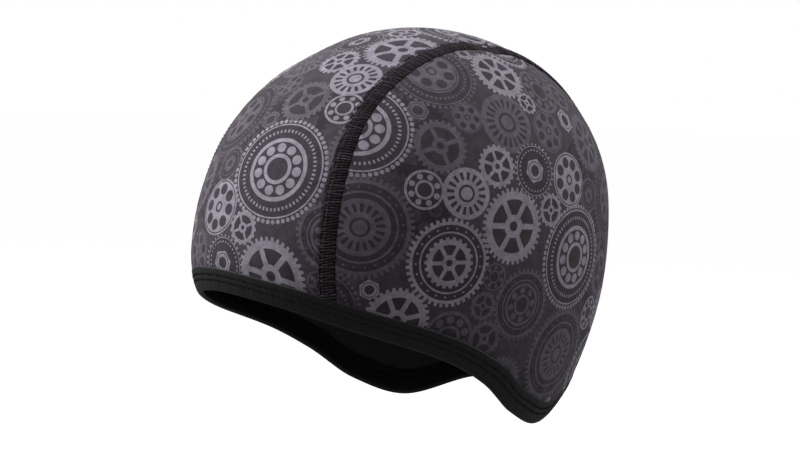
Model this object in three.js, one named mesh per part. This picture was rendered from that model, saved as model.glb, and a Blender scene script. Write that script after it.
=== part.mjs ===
// A stretch skull cap of brushed thermal cloth, as worn under a helmet. One long panel runs from the brow
// over the crown to the nape, a rounded panel covers each side and ear, a flat stitched seam joins them on
// each side, and a folded binding closes the whole edge. The cap keeps the shape that a head gives it.
// Millimetres. +Z is up, the face looks along -Y and +X is the wearer's left. The tables give heights above
// the brow. The group is moved at the end so that its origin is the inside of the crown, where it sits.
import * as THREE from "three";

// Driving sizes
const crownHeight = 120.4; // brow to the top of the crown
const crownSetback = 10.3; // how far the top of the crown lies behind the middle
const clothThick = 1.7; // brushed stretch jersey
const seamWidth = 7; // a flat four-needle seam
const seamProud = 0.5; // how far the seam stands out of the cloth
const seamInside = 0.2; // and on the inside
const bindingWidth = 10.5; // as seen from outside
const bindingLeaf = 0.6; // each leaf of the folded binding
const bindingFold = 1.2; // cloth-free depth of the fold at the edge
const fitGap = 0.3; // between neighbouring pieces
const pullZone = 20; // the elastic draws the cloth in over this height

// How far the cap reaches each way at its fullest height, how square its dome is, and the share of the
// reach that it has lost 100 mm below the fullest height.
const outline = {
  front: { reach: 95.4, fullestAt: 10, roundness: 2.02, taper: 0.26 },
  back: { reach: 111.5, fullestAt: 25, roundness: 2.17, taper: 0.35 },
  side: { reach: 80, fullestAt: 40.5, roundness: 2.1, taper: 0.25 },
};

// The finished edge: its height and how far the elastic draws it in, by the turn from the face in degrees.
const edgeLine = [
  { turn: 0, height: 1.4, drawnIn: 3.6 },
  { turn: 25, height: -2.4, drawnIn: 3.6 },
  { turn: 50, height: -11.6, drawnIn: 3 },
  { turn: 75, height: -22.8, drawnIn: 2.4 },
  { turn: 90, height: -33.7, drawnIn: 2 },
  { turn: 105, height: -49, drawnIn: 1.6 },
  { turn: 125, height: -57.2, drawnIn: 1.4 },
  { turn: 150, height: -47.9, drawnIn: 2 },
  { turn: 180, height: -44.5, drawnIn: 2.4 },
];

// How far the seam lies from the middle plane, by its place ahead of the middle.
const seamLine = [
  { ahead: -112, out: 24 },
  { ahead: -55, out: 30.5 },
  { ahead: -25, out: 36.5 },
  { ahead: 5, out: 40.3 },
  { ahead: 35, out: 44 },
  { ahead: 55, out: 47 },
  { ahead: 72, out: 51.5 },
  { ahead: 100, out: 55 },
];

// Shallow valleys in the stretched cloth: the middle, the direction of the valley and its size. The first
// is the pucker where the left seam crosses the crown.
const dents = [
  { middle: [36, 22, 112], along: [0.55, 0.83, 0], length: 9, width: 4.5, depth: 1.6 },
  { middle: [-16, -38, 107], along: [0.8, -0.6, 0], length: 30, width: 18, depth: 1.5 },
  { middle: [-46, -50, 88], along: [0.3, 0.6, -0.74], length: 26, width: 12, depth: 1.1 },
  { middle: [62, 62, 40], along: [0.5, -0.5, 0.7], length: 34, width: 13, depth: 1 },
  { middle: [-66, 40, 30], along: [0.3, 0.9, 0.3], length: 30, width: 12, depth: 1 },
];

// Mesh counts
const edgeColumns = 20; // along a side panel's edge
const sideRows = 12; // up a side panel
const seamRows = 44; // along a whole seam
const centreColumns = 10; // across the centre panel
const hiddenLevels = [1.5, 6]; // rows of cloth inside the binding, above the edge

// How points of the dome are found: by rays from a point well inside, cut in half until they meet it
const capMiddle = new THREE.Vector3(0, 8, 25);
const rayLength = 220;
const halvings = 36;
const seamTries = 8; // rounds in which a seam point settles on its line
const smallTurn = 0.01; // radians, for slopes and outward directions
const browSearch = { from: 60, to: -40 }; // degrees from straight ahead, between which a seam ends
const napeSearch = { from: 120, to: 225 };

const { clamp, degToRad, lerp, radToDeg } = THREE.MathUtils;

// A smooth curve through one column of a table, level at both ends.
function readTable(rows, from, to, at) {
  const last = rows.length - 1;
  let i = 0;
  while (i < last - 1 && at > rows[i + 1][from]) i += 1;
  const slope = (k) => {
    if (k === 0 || k === last) return 0;
    return (rows[k + 1][to] - rows[k - 1][to]) / (rows[k + 1][from] - rows[k - 1][from]);
  };
  const span = rows[i + 1][from] - rows[i][from];
  const s = clamp((at - rows[i][from]) / span, 0, 1);
  const rise = rows[i + 1][to] - rows[i][to];
  const bend = (1 - s) * (slope(i) * span - rise) - s * (slope(i + 1) * span - rise);
  return rows[i][to] + rise * s + s * (1 - s) * bend;
}

// Where a function changes its sign between two values.
function crossing(value, low, high) {
  const sign = Math.sign(value(low));
  for (let k = 0; k < halvings; k += 1) {
    const middle = (low + high) / 2;
    if (Math.sign(value(middle)) === sign) low = middle;
    else high = middle;
  }
  return (low + high) / 2;
}

// How far the cap reaches in one direction at a height.
function reachAt(way, height) {
  const { reach, fullestAt, roundness, taper } = outline[way];
  if (height < fullestAt) return reach * (1 - taper * ((fullestAt - height) / 100) ** 2);
  const up = Math.min((height - fullestAt) / (crownHeight - fullestAt), 1);
  return reach * (1 - up ** roundness) ** (1 / roundness);
}

const setbackAt = (height) => crownSetback * clamp(height / crownHeight, 0, 1) ** 3;
const edgeHeight = (turn) => readTable(edgeLine, "turn", "height", radToDeg(Math.abs(turn)));
const edgeDrawn = (turn) => readTable(edgeLine, "turn", "drawnIn", radToDeg(Math.abs(turn)));

// A point's turn from the face, plus to the wearer's left, and its share of the way out to the dome.
function place(p) {
  const ahead = setbackAt(p.z) - p.y;
  const lengthways = ahead / reachAt(ahead > 0 ? "front" : "back", p.z);
  const sideways = p.x / reachAt("side", p.z);
  return { turn: Math.atan2(sideways, lengthways), share: Math.hypot(sideways, lengthways) };
}

// The point of the smooth dome at a turn and height.
function domePoint(turn, height) {
  const ahead = Math.cos(turn);
  const reach = reachAt(ahead > 0 ? "front" : "back", height);
  const x = reachAt("side", height) * Math.sin(turn);
  const y = -reach * ahead;
  const near = clamp(1 - (height - edgeHeight(turn)) / pullZone, 0, 1);
  const kept = 1 - (edgeDrawn(turn) * near ** 2) / Math.hypot(x, y);
  return new THREE.Vector3(x * kept, y * kept + setbackAt(height), height);
}

// The dome's point straight out from a point inside it.
function cast(from, direction) {
  const at = (r) => from.clone().addScaledVector(direction, r);
  const outside = (p) => {
    if (p.z >= crownHeight) return 1;
    const { turn, share } = place(p);
    return share - place(domePoint(turn, p.z)).share;
  };
  return at(crossing((r) => outside(at(r)), 0, rayLength));
}

// The dome's outward direction at a point on it.
function outwards(p) {
  const ray = p.clone().sub(capMiddle).normalize();
  const across = new THREE.Vector3(0, 1, 0.3).cross(ray).normalize();
  const along = ray.clone().cross(across);
  const near = (a, b) => {
    const aside = ray.clone().addScaledVector(across, a).addScaledVector(along, b);
    return cast(capMiddle, aside.normalize());
  };
  const first = near(smallTurn, 0).sub(near(-smallTurn, 0));
  const second = near(0, smallTurn).sub(near(0, -smallTurn));
  return first.cross(second).normalize();
}

// A dome point with the dents pressed in, moved out by a distance.
function raised(p, out) {
  let depth = 0;
  for (const dent of dents) {
    const away = p.clone().sub(new THREE.Vector3(...dent.middle));
    const run = away.dot(new THREE.Vector3(...dent.along).normalize());
    const aside = Math.sqrt(Math.max(away.lengthSq() - run * run, 0));
    depth += dent.depth * Math.exp(-((run / dent.length) ** 2) - (aside / dent.width) ** 2);
  }
  return p.clone().addScaledVector(outwards(p), out - depth);
}

// The dome's point a distance above the finished edge.
function aboveEdge(turn, up) {
  const rise = edgeHeight(turn + smallTurn) - edgeHeight(turn - smallTurn);
  const height = edgeHeight(turn);
  const run = domePoint(turn + smallTurn, height).distanceTo(domePoint(turn - smallTurn, height));
  return domePoint(turn, height + up * Math.hypot(1, rise / run));
}

// The middle of the left seam, in the direction at an angle from straight ahead, over the crown.
function seamPoint(angle) {
  const direction = new THREE.Vector3(0, -Math.cos(angle), Math.sin(angle));
  let p = new THREE.Vector3();
  for (let k = 0; k < seamTries; k += 1) {
    const out = readTable(seamLine, "ahead", "out", -p.y);
    p = cast(new THREE.Vector3(out, capMiddle.y, capMiddle.z), direction);
  }
  return p;
}

// A point beside the left seam: plus is away from the middle plane.
function besideSeam(angle, offset) {
  const along = seamPoint(angle + smallTurn).sub(seamPoint(angle - smallTurn));
  const p = seamPoint(angle);
  const beside = along.cross(outwards(p)).normalize();
  return cast(capMiddle, p.addScaledVector(beside, offset).sub(capMiddle).normalize());
}

const stations = (n) => Array.from({ length: n + 1 }, (_, i) => i / n);

// A line beside the left seam, from the brow over the crown to the nape.
function seamRun(offset, up) {
  const clear = (angle) => {
    const p = besideSeam(angle, offset);
    return p.z - aboveEdge(place(p).turn, up).z;
  };
  const start = crossing(clear, degToRad(browSearch.from), degToRad(browSearch.to));
  const end = crossing(clear, degToRad(napeSearch.from), degToRad(napeSearch.to));
  return stations(seamRows).map((s) => besideSeam(lerp(start, end, s), offset));
}

// Fills the patch between four lines of points that share their corners.
function fillPatch(low, high, start, end) {
  const ray = (p) => p.clone().sub(capMiddle).normalize();
  const n = low.length - 1;
  const m = start.length - 1;
  const inside = (i, j) => {
    const u = i / n;
    const v = j / m;
    const d = new THREE.Vector3();
    d.addScaledVector(ray(low[i]), 1 - v).addScaledVector(ray(high[i]), v);
    d.addScaledVector(ray(start[j]), 1 - u).addScaledVector(ray(end[j]), u);
    d.addScaledVector(ray(low[0]), -(1 - u) * (1 - v)).addScaledVector(ray(low[n]), -u * (1 - v));
    d.addScaledVector(ray(high[0]), -(1 - u) * v).addScaledVector(ray(high[n]), -u * v);
    return cast(capMiddle, d.normalize());
  };
  return start.map((left, j) => {
    if (j === 0) return low;
    if (j === m) return high;
    return low.map((_, i) => {
      if (i === 0) return left;
      return i === n ? end[j] : inside(i, j);
    });
  });
}

const leftToRight = (p) => new THREE.Vector3(-p.x, p.y, p.z);
const mirrorGrid = (grid) => grid.map((row) => row.map(leftToRight).reverse());

// The rows of cloth hidden in the binding, below a row at the binding's top.
const hiddenRows = (turns) => hiddenLevels.map((up) => turns.map((turn) => aboveEdge(turn, up)));

const innerRun = seamRun(-seamWidth / 2 - fitGap, bindingWidth);
const outerRun = seamRun(seamWidth / 2 + fitGap, bindingWidth);

// Turns of the cloth's columns where they enter the binding: across the brow to the wearer's left, along
// the left edge to the nape, and across the nape to the wearer's left.
const turnOf = (p) => place(p).turn;
const wrapTurn = (turn) => (turn > Math.PI ? turn - 2 * Math.PI : turn);
const browTurns = stations(centreColumns).map((s) => lerp(-1, 1, s) * turnOf(innerRun[0]));
const leftTurns = stations(edgeColumns).map((s) => lerp(turnOf(outerRun[0]), turnOf(outerRun.at(-1)), s));
const napeReach = Math.PI - turnOf(innerRun.at(-1));
const napeTurns = stations(centreColumns).map((s) => wrapTurn(Math.PI + lerp(1, -1, s) * napeReach));

// From the brow over the crown to the nape, its columns from the wearer's right to left.
function centreGrid() {
  const low = browTurns.map((turn) => aboveEdge(turn, bindingWidth));
  const high = napeTurns.map((turn) => aboveEdge(turn, bindingWidth));
  const patch = fillPatch(low, high, innerRun.map(leftToRight), innerRun);
  return [...hiddenRows(browTurns), ...patch, ...hiddenRows(napeTurns).reverse()];
}

// From the binding up to the seam, its columns from the brow to the nape.
function leftGrid() {
  const edge = leftTurns.map((turn) => aboveEdge(turn, bindingWidth));
  const up = outerRun.slice(0, sideRows + 1);
  const over = outerRun.slice(sideRows, seamRows - sideRows + 1);
  const down = outerRun.slice(seamRows - sideRows).reverse();
  return [...hiddenRows(leftTurns), ...fillPatch(edge, over, up, down)];
}

function geometryOf(points, faces) {
  const geometry = new THREE.BufferGeometry();
  const places = points.flatMap((p) => p.toArray());
  geometry.setAttribute("position", new THREE.Float32BufferAttribute(places, 3));
  geometry.setIndex(faces);
  geometry.computeVertexNormals();
  return geometry;
}

// A wall over a grid whose columns and rows run anticlockwise from outside, between two distances out.
function wallOver(grid, outside, inside) {
  const rows = grid.length;
  const columns = grid[0].length;
  const points = [outside, inside].flatMap((out) => grid.flat().map((p) => raised(p, out)));
  const top = (j, i) => j * columns + i;
  const under = (j, i) => (rows + j) * columns + i;
  const faces = [];
  const quad = (a, b, c, d) => faces.push(a, b, c, a, c, d);
  for (let j = 0; j < rows - 1; j += 1) {
    for (let i = 0; i < columns - 1; i += 1) {
      quad(top(j, i), top(j, i + 1), top(j + 1, i + 1), top(j + 1, i));
      quad(under(j, i), under(j + 1, i), under(j + 1, i + 1), under(j, i + 1));
    }
    const right = columns - 1;
    quad(top(j, 0), top(j + 1, 0), under(j + 1, 0), under(j, 0));
    quad(top(j, right), under(j, right), under(j + 1, right), top(j + 1, right));
  }
  for (let i = 0; i < columns - 1; i += 1) {
    const last = rows - 1;
    quad(top(0, i), under(0, i), under(0, i + 1), top(0, i + 1));
    quad(top(last, i), top(last, i + 1), under(last, i + 1), under(last, i));
  }
  return geometryOf(points, faces);
}

// The stitched band over the left seam, three columns wide, with both ends clear of the binding.
function seamGrid() {
  const runs = [-seamWidth / 2, 0, seamWidth / 2].map((offset) => seamRun(offset, bindingWidth + fitGap));
  return stations(seamRows).map((_, j) => runs.map((run) => run[j]));
}

// The binding's section: how high above the edge and how far out of the cloth's face, down the outside,
// round the fold, up the inside and back round the slot that holds the cloth.
function bindingSection() {
  const face = fitGap + bindingLeaf;
  const back = -clothThick - fitGap - bindingLeaf;
  const middle = (face + back) / 2;
  const levels = [bindingWidth, ...hiddenLevels.toReversed()];
  const corner = { up: bindingFold / 4, in: 0.75 }; // where the round fold turns most
  const fold = [
    { up: corner.up, out: lerp(middle, face, corner.in) },
    { up: 0, out: middle },
    { up: corner.up, out: lerp(middle, back, corner.in) },
  ];
  const slot = [
    { up: bindingFold, out: back + bindingLeaf },
    { up: bindingFold, out: fitGap },
  ];
  return [
    ...levels.map((up) => ({ up, out: face })),
    ...fold,
    ...levels.toReversed().map((up) => ({ up, out: back })),
    ...levels.slice(0, -1).map((up) => ({ up, out: back + bindingLeaf })),
    ...slot,
    ...levels.slice(0, -1).reverse().map((up) => ({ up, out: fitGap })),
  ];
}

function bindingGeometry() {
  const rightTurns = leftTurns.map((turn) => -turn).reverse();
  const turns = [...browTurns, ...leftTurns, ...napeTurns.toReversed(), ...rightTurns];
  const section = bindingSection();
  const points = turns.flatMap((turn) => section.map(({ up, out }) => raised(aboveEdge(turn, up), out)));
  const at = (k, s) => (k % turns.length) * section.length + (s % section.length);
  const faces = [];
  for (let k = 0; k < turns.length; k += 1) {
    for (let s = 0; s < section.length; s += 1) {
      const [a, b, c, d] = [at(k, s), at(k, s + 1), at(k + 1, s + 1), at(k + 1, s)];
      faces.push(a, b, c, a, c, d);
    }
  }
  return geometryOf(points, faces);
}

function material(color, roughness) {
  return new THREE.MeshStandardMaterial({ color, roughness, metalness: 0 });
}

function piece(name, geometry, finish) {
  const mesh = new THREE.Mesh(geometry, finish);
  mesh.name = name;
  return mesh;
}

const left = leftGrid();
const band = seamGrid();
const inside = -clothThick;
const group = new THREE.Group();
group.name = "thermal_skull_cap";
group.position.set(0, -crownSetback, -(crownHeight - clothThick));
group.add(
  piece("centre_panel", wallOver(centreGrid(), 0, inside), material(0x5b555f, 0.9)),
  piece("side_panel_left", wallOver(left, 0, inside), material(0x5b555f, 0.9)),
  piece("side_panel_right", wallOver(mirrorGrid(left), 0, inside), material(0x5b555f, 0.9)),
  piece("seam_left", wallOver(band, seamProud, inside - seamInside), material(0x1c1b1a, 0.85)),
  piece("seam_right", wallOver(mirrorGrid(band), seamProud, inside - seamInside), material(0x1c1b1a, 0.85)),
  piece("rim_binding", bindingGeometry(), material(0x161617, 0.8)),
);

export default group;
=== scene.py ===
import math
import random

import bpy
import numpy as np
from mathutils import Matrix, Vector, noise


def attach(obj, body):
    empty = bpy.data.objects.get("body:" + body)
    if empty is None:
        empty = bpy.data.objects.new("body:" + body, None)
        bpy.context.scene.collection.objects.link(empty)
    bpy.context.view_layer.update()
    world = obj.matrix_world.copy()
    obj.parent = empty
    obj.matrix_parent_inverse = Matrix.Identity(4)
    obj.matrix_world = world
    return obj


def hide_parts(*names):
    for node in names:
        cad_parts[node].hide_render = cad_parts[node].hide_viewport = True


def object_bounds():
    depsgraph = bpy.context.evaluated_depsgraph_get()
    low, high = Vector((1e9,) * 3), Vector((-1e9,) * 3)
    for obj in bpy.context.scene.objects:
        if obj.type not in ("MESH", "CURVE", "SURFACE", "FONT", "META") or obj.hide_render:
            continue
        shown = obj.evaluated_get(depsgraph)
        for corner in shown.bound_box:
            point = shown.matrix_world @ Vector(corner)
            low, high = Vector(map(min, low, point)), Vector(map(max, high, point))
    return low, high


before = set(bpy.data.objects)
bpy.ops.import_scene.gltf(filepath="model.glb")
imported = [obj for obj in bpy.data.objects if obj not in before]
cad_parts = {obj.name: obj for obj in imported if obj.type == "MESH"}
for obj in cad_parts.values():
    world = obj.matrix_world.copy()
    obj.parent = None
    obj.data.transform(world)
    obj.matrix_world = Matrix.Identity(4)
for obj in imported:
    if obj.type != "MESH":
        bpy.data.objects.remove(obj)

cadBox = [[float(v) for v in corner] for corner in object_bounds()]
coarse = 1
print("frame loaded", sorted(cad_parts))


# The form of the cap, in millimetres above the brow edge, with the face towards -Y. A point of the
# cloth is found by its turn from the face and its height, or by a ray from the middle of the head.
capForm = {
    "crownHeight": 120.4,
    "crownSetback": 10.3,
    "clothThick": 1.7,
    "pullZone": 20.0,  # the elastic draws the cloth in over this height
    "reach": {
        "front": dict(reach=95.4, fullestAt=10.0, roundness=2.02, taper=0.26),
        "back": dict(reach=111.5, fullestAt=25.0, roundness=2.17, taper=0.35),
        "side": dict(reach=80.0, fullestAt=40.5, roundness=2.1, taper=0.25),
    },
    # turn in degrees, height of the finished edge, how far it is drawn in
    "edge": [
        (0, 1.4, 3.6),
        (25, -2.4, 3.6),
        (50, -11.6, 3.0),
        (75, -22.8, 2.4),
        (90, -33.7, 2.0),
        (105, -49.0, 1.6),
        (125, -57.2, 1.4),
        (150, -47.9, 2.0),
        (180, -44.5, 2.4),
    ],
    # place ahead of the middle, distance of the seam from the middle plane
    "seam": [(-112, 24), (-55, 30.5), (-25, 36.5), (5, 40.3), (35, 44), (55, 47), (72, 51.5), (100, 55)],
    # middle, direction, length, width and depth of the shallow valleys
    "dents": [
        ((36, 22, 112), (0.55, 0.83, 0), 9, 4.5, 1.6),
        ((-16, -38, 107), (0.8, -0.6, 0), 30, 18, 1.5),
        ((-46, -50, 88), (0.3, 0.6, -0.74), 26, 12, 1.1),
        ((62, 62, 40), (0.5, -0.5, 0.7), 34, 13, 1.0),
        ((-66, 40, 30), (0.3, 0.9, 0.3), 30, 12, 1.0),
        ((30, 62, 103), (0.35, 0.75, -0.56), 45, 25, 1.2),
        ((29.5, 24, 114), (0, 1, -0.15), 7, 3, -0.8),  # a fold, raised beside the pinch
    ],
    # where the left seam is pulled narrow on the side of the crown
    "pinch": dict(at=(35.3, 21, 112), size=6.0, share=0.5),
    "middle": (0, 8, 25),  # well inside the head, where the rays start
}
mm = 0.001
nearZero = 1e-9  # added where a reach may be nothing
middle = np.array(capForm["middle"], float)
crownInside = np.array([0, capForm["crownSetback"], capForm["crownHeight"] - capForm["clothThick"]])
otherSide = np.array([-1, 1, 1])  # times this, a place is on the wearer's other side


def smoothTable(rows, column, at):
    rows = np.array(rows, float)
    x, y = rows[:, 0], rows[:, column]
    slope = np.zeros(len(x))
    slope[1:-1] = (y[2:] - y[:-2]) / (x[2:] - x[:-2])
    i = np.clip(np.searchsorted(x, at, side="left") - 1, 0, len(x) - 2)
    span = x[i + 1] - x[i]
    s = np.clip((at - x[i]) / span, 0, 1)
    rise = y[i + 1] - y[i]
    bend = (1 - s) * (slope[i] * span - rise) - s * (slope[i + 1] * span - rise)
    return y[i] + rise * s + s * (1 - s) * bend


def reachAt(way, height):
    form = capForm["reach"][way]
    below = 1 - form["taper"] * (np.minimum(height - form["fullestAt"], 0) / 100) ** 2
    up = np.clip((height - form["fullestAt"]) / (capForm["crownHeight"] - form["fullestAt"]), 0, 1)
    above = (1 - up ** form["roundness"]) ** (1 / form["roundness"])
    return form["reach"] * np.where(height < form["fullestAt"], below, above)


def setbackAt(height):
    return capForm["crownSetback"] * np.clip(height / capForm["crownHeight"], 0, 1) ** 3


def edgeHeight(turn):
    return smoothTable(capForm["edge"], 1, np.degrees(np.abs(turn)))


def keptShare(turn, height):  # what the elastic leaves of the reach
    ahead = np.cos(turn)
    reach = np.where(ahead > 0, reachAt("front", height), reachAt("back", height))
    out = np.hypot(reachAt("side", height) * np.sin(turn), reach * ahead) + nearZero
    near = np.clip(1 - (height - edgeHeight(turn)) / capForm["pullZone"], 0, 1)
    return 1 - smoothTable(capForm["edge"], 2, np.degrees(np.abs(turn))) * near**2 / out


def place(p):  # turn from the face, and share of the way out to the dome
    ahead = setbackAt(p[..., 2]) - p[..., 1]
    front = reachAt("front", p[..., 2]) + nearZero
    back = reachAt("back", p[..., 2]) + nearZero
    lengthways = ahead / np.where(ahead > 0, front, back)
    sideways = p[..., 0] / (reachAt("side", p[..., 2]) + nearZero)
    return np.arctan2(sideways, lengthways), np.hypot(sideways, lengthways)


def domePoint(turn, height):
    ahead = np.cos(turn)
    reach = np.where(ahead > 0, reachAt("front", height), reachAt("back", height))
    kept = keptShare(turn, height)
    x = reachAt("side", height) * np.sin(turn) * kept
    y = -reach * ahead * kept + setbackAt(height)
    return np.stack([x, y, height + 0 * turn], -1)


def unit(rays):
    return rays / np.linalg.norm(rays, axis=-1, keepdims=True)


def cast(rays, start=middle, farOut=220.0, halvings=34):  # where rays from inside meet the dome
    rays = unit(rays)
    low = np.zeros(rays.shape[:-1])
    high = low + farOut
    for _ in range(halvings):
        r = (low + high) / 2
        p = start + rays * r[..., None]
        turn, share = place(p)
        outside = (p[..., 2] >= capForm["crownHeight"]) | (share > keptShare(turn, p[..., 2]))
        high = np.where(outside, r, high)
        low = np.where(outside, low, r)
    return start + rays * low[..., None]


def outwards(p, step=0.01):  # straight out of the dome, from short steps across it and along it
    guide = np.array([0, 1, 0.3])  # the first step is square to this
    ray = unit(p - middle)
    across = unit(np.cross(guide, ray))
    along = np.cross(ray, across)
    first = cast(ray + across * step) - cast(ray - across * step)
    second = cast(ray + along * step) - cast(ray - along * step)
    return unit(np.cross(first, second))


def dentDepth(p):
    depth = np.zeros(p.shape[:-1])
    for middle, direction, length, width, deep in capForm["dents"]:
        away = p - np.array(middle, float)
        way = np.array(direction, float) / np.linalg.norm(direction)
        run = away @ way
        aside = np.maximum((away**2).sum(-1) - run**2, 0)
        depth += deep * np.exp(-((run / length) ** 2) - aside / width**2)
    return depth


def aboveEdge(turn, up):
    small = 0.01
    height = edgeHeight(turn)
    rise = edgeHeight(turn + small) - edgeHeight(turn - small)
    run = np.linalg.norm(domePoint(turn + small, height) - domePoint(turn - small, height), axis=-1)
    return domePoint(turn, height + up * np.hypot(1, rise / run))


# The left seam's middle line, from under the brow over the crown to under the nape
seamSweep = dict(start=-45, end=232, points=700, rounds=8)  # in degrees up from the face
seamAngles = np.radians(np.linspace(seamSweep["start"], seamSweep["end"], seamSweep["points"]))
seamRays = np.stack([0 * seamAngles, -np.cos(seamAngles), np.sin(seamAngles)], -1)
seamMiddle = np.zeros((len(seamAngles), 3))
for _ in range(seamSweep["rounds"]):
    seamStart = np.tile(middle, (len(seamAngles), 1))
    seamStart[:, 0] = smoothTable(capForm["seam"], 1, -seamMiddle[:, 1])
    seamMiddle = cast(seamRays, seamStart)
seamAside = unit(np.cross(np.gradient(seamMiddle, axis=0), outwards(seamMiddle)))


def lengths(line):  # how far along a line each of its points is
    return np.concatenate([[0], np.linalg.norm(np.diff(line, axis=0), axis=-1).cumsum()])


def evenly(line, count):  # count + 1 points at equal steps along a line
    length = lengths(line)
    at = np.linspace(0, length[-1], count + 1)
    return np.stack([np.interp(at, length, line[:, k]) for k in range(3)], -1)


def seamRun(offset, up, count, pinched=False):  # beside the left seam, cut off at one height above the edge
    offset = np.full(len(seamMiddle), float(offset))
    if pinched:
        pinch = capForm["pinch"]
        gap = np.linalg.norm(seamMiddle - np.array(pinch["at"], float), axis=-1)
        narrow = 1 - pinch["share"] * np.exp(-((gap / pinch["size"]) ** 2))
        offset = np.where(offset < 0, offset * narrow, offset)
    line = cast(seamMiddle + seamAside * offset[:, None] - middle)
    clear = line[:, 2] - aboveEdge(place(line)[0], up)[:, 2]
    inside = np.nonzero(clear > 0)[0]
    first, last = inside[0], inside[-1]
    ends = []
    for a, b in ((first - 1, first), (last + 1, last)):
        share = clear[a] / (clear[a] - clear[b])
        ends.append(line[a] * (1 - share) + line[b] * share)
    return evenly(np.vstack([ends[0], line[first : last + 1], ends[1]]), count)


def fillPatch(low, high, start, end):  # between four lines of points that share their corners
    low, high, start, end = [unit(line - middle) for line in (low, high, start, end)]
    u = np.linspace(0, 1, len(low))[None, :, None]
    v = np.linspace(0, 1, len(start))[:, None, None]
    rays = low[None] * (1 - v) + high[None] * v + start[:, None] * (1 - u) + end[:, None] * u
    rays = rays - low[0] * (1 - u) * (1 - v) - low[-1] * u * (1 - v)
    rays = rays - high[0] * (1 - u) * v - high[-1] * u * v
    return cast(rays)


def mirrored(grid):  # to the wearer's right, with the same facing
    return (grid * otherSide)[:, ::-1]


# Materials
def addNode(tree, kind, sockets=None, **settings):  # each socket gets a link or a plain value
    node = tree.nodes.new(kind)
    for key, value in settings.items():
        setattr(node, key, value)
    for key, value in (sockets or {}).items():
        if isinstance(value, bpy.types.NodeSocket):
            tree.links.new(value, node.inputs[key])
        else:
            node.inputs[key].default_value = value
    return node


def nextNode(kind, sockets, **settings):  # a node that others feed, in the same tree as they
    feeds = [value for value in sockets.values() if isinstance(value, bpy.types.NodeSocket)]
    return addNode(feeds[0].id_data, kind, sockets, **settings)


def calc(operation, *values):
    return nextNode("ShaderNodeMath", dict(enumerate(values)), operation=operation).outputs[0]


def times(a, b):
    return calc("MULTIPLY", a, b)


def vectorCalc(operation, *values):
    node = nextNode("ShaderNodeVectorMath", dict(enumerate(values)), operation=operation)
    return node.outputs["Value" if operation == "LENGTH" else "Vector"]


def tint(share, a, b):  # from a to b, for colours
    return nextNode("ShaderNodeMix", {0: share, 6: a, 7: b}, data_type="RGBA").outputs[2]


def grain(vector, scale, detail=2.0, roughness=0.5):
    sockets = {"Vector": vector, "Scale": scale, "Detail": detail, "Roughness": roughness}
    return nextNode("ShaderNodeTexNoise", sockets).outputs["Fac"]


def remap(value, low, high, toLow, toHigh):
    sockets = {"Value": value, "From Min": low, "From Max": high, "To Min": toLow, "To Max": toHigh}
    return nextNode("ShaderNodeMapRange", sockets).outputs["Result"]


def splitAxis(vector, axis):
    return nextNode("ShaderNodeSeparateXYZ", {0: vector}).outputs[axis]


def objectPlace(tree):
    return tree.nodes.new("ShaderNodeTexCoord").outputs["Object"]


clothUnit = 100.0  # millimetres of cloth in one unit of the uv layer


def flatCloth(tree):  # the place on the flat cloth, in millimetres
    uv = addNode(tree, "ShaderNodeUVMap", uv_map="cloth").outputs[0]
    return vectorCalc("MULTIPLY", uv, (clothUnit, clothUnit, 0.0))


def ridges(cloth, axis, pitch, height):  # one ridge for each pitch of cloth
    phase = times(splitAxis(cloth, axis), math.tau / pitch)
    return times(calc("SINE", phase), height)


def newMaterial(name, roughness, sheen=0.0, sheenRoughness=0.5, specular=0.3):
    material = bpy.data.materials.new(name)
    material.use_nodes = True
    tree = material.node_tree
    shader = tree.nodes["Principled BSDF"]
    shader.inputs["Roughness"].default_value = roughness
    shader.inputs["Specular IOR Level"].default_value = specular
    shader.inputs["Sheen Weight"].default_value = sheen
    shader.inputs["Sheen Roughness"].default_value = sheenRoughness
    return material, tree, shader


def dress(shader, colour, height, strength, distance):  # in a colour, and in a relief as a bump
    node = nextNode("ShaderNodeBump", {"Height": height, "Strength": strength, "Distance": distance})
    shader.id_data.links.new(node.outputs["Normal"], shader.inputs["Normal"])
    shader.id_data.links.new(colour, shader.inputs["Base Color"])


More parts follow.
